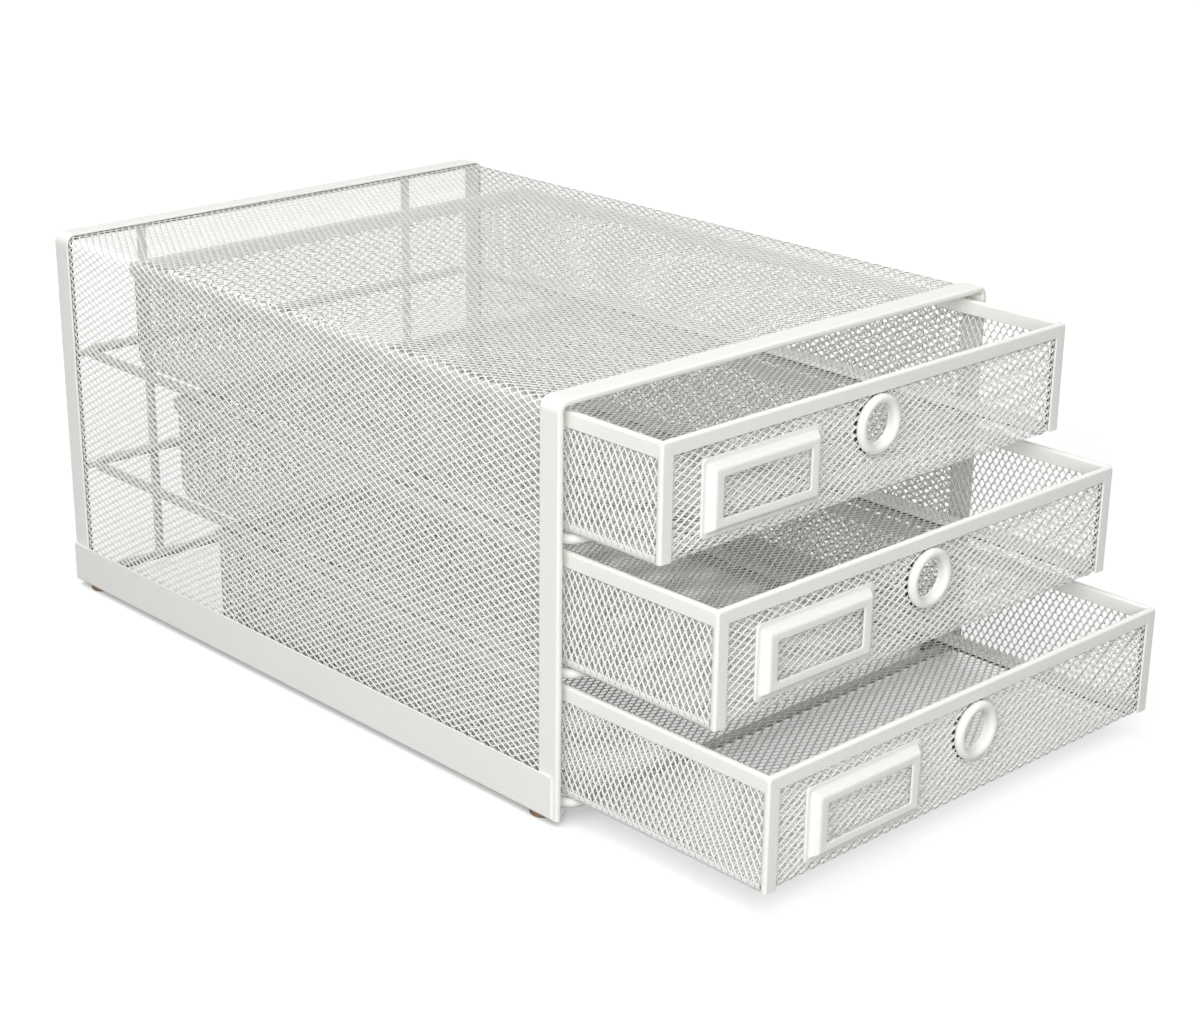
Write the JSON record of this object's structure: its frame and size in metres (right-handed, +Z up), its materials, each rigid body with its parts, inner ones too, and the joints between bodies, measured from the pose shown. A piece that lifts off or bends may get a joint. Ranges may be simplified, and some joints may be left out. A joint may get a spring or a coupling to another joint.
{
  "type": "mesh drawer organizer",
  "caption": "Desktop organizer: a casing of expanded steel mesh with mesh drawers that slide out, each with a label holder and a finger ring.",
  "frame": {"origin": "on the surface that the feet stand on, under the middle of the whole object with its drawers at rest (partly open)", "axes": "+Y from the drawers' fronts to the back, +X to the right as seen from the front, +Z up"},
  "size_m": [0.2616, 0.4672, 0.1805],
  "materials": {
    "powder_coat": "satin",
    "coated_mesh": "satin",
    "foot_pad": "matte"
  },
  "bodies": {
    "casing": {"casing_mesh": "coated_mesh", "front_rim": "powder_coat", "rear_rim": "powder_coat", "side_band_left": "powder_coat", "side_band_right": "powder_coat", "runner_upper": "powder_coat", "runner_middle": "powder_coat", "runner_lower": "powder_coat", "rear_wire_left": "powder_coat", "rear_wire_right": "powder_coat", "foot_front_left": "foot_pad", "foot_front_right": "foot_pad", "foot_rear_left": "foot_pad", "foot_rear_right": "foot_pad"},
    "upper_drawer": {"upper_basket": "coated_mesh", "upper_rim": "powder_coat", "upper_front_frame": "powder_coat", "upper_label_holder": "powder_coat", "upper_finger_ring": "powder_coat"},
    "middle_drawer": {"middle_basket": "coated_mesh", "middle_rim": "powder_coat", "middle_front_frame": "powder_coat", "middle_label_holder": "powder_coat", "middle_finger_ring": "powder_coat"},
    "lower_drawer": {"lower_basket": "coated_mesh", "lower_rim": "powder_coat", "lower_front_frame": "powder_coat", "lower_label_holder": "powder_coat", "lower_finger_ring": "powder_coat"}
  },
  "joints": [
    {"name": "upper_drawer_slide", "type": "slide", "parent": "casing", "child": "upper_drawer", "axis": [0, -1, 0], "range_m": [-0.0486, 0.2514]},
    {"name": "middle_drawer_slide", "type": "slide", "parent": "casing", "child": "middle_drawer", "axis": [0, -1, 0], "range_m": [-0.0793, 0.2207]},
    {"name": "lower_drawer_slide", "type": "slide", "parent": "casing", "child": "lower_drawer", "axis": [0, -1, 0], "range_m": [-0.1079, 0.1921]}
  ]
}
